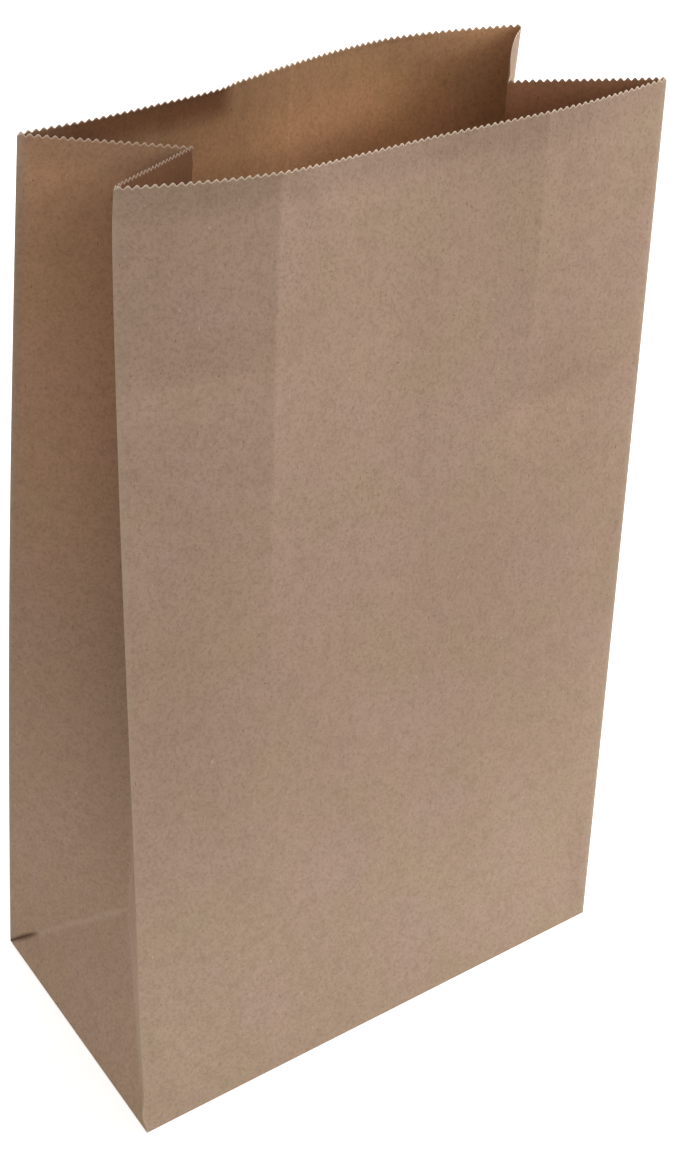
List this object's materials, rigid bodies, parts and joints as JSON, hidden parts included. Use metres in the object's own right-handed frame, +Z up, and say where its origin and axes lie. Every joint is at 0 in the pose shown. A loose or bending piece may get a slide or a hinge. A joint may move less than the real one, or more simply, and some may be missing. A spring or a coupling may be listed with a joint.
{
  "type": "paper lunch bag",
  "caption": "Plain brown kraft paper lunch bag, standing open, with gusseted sides folded inwards, a toothed mouth and a flat folded foot.",
  "frame": {"origin": "on the underside, at the middle of the foot's rectangle", "axes": "+Z up from the foot to the mouth, +X along the wide panels, -Y towards the front panel"},
  "size_m": [0.2312, 0.1136, 0.3278],
  "materials": {
    "kraft_paper": "dull unbleached kraft, uncoated"
  },
  "bodies": {
    "root": {"paper_bag": "kraft_paper"}
  },
  "joints": []
}
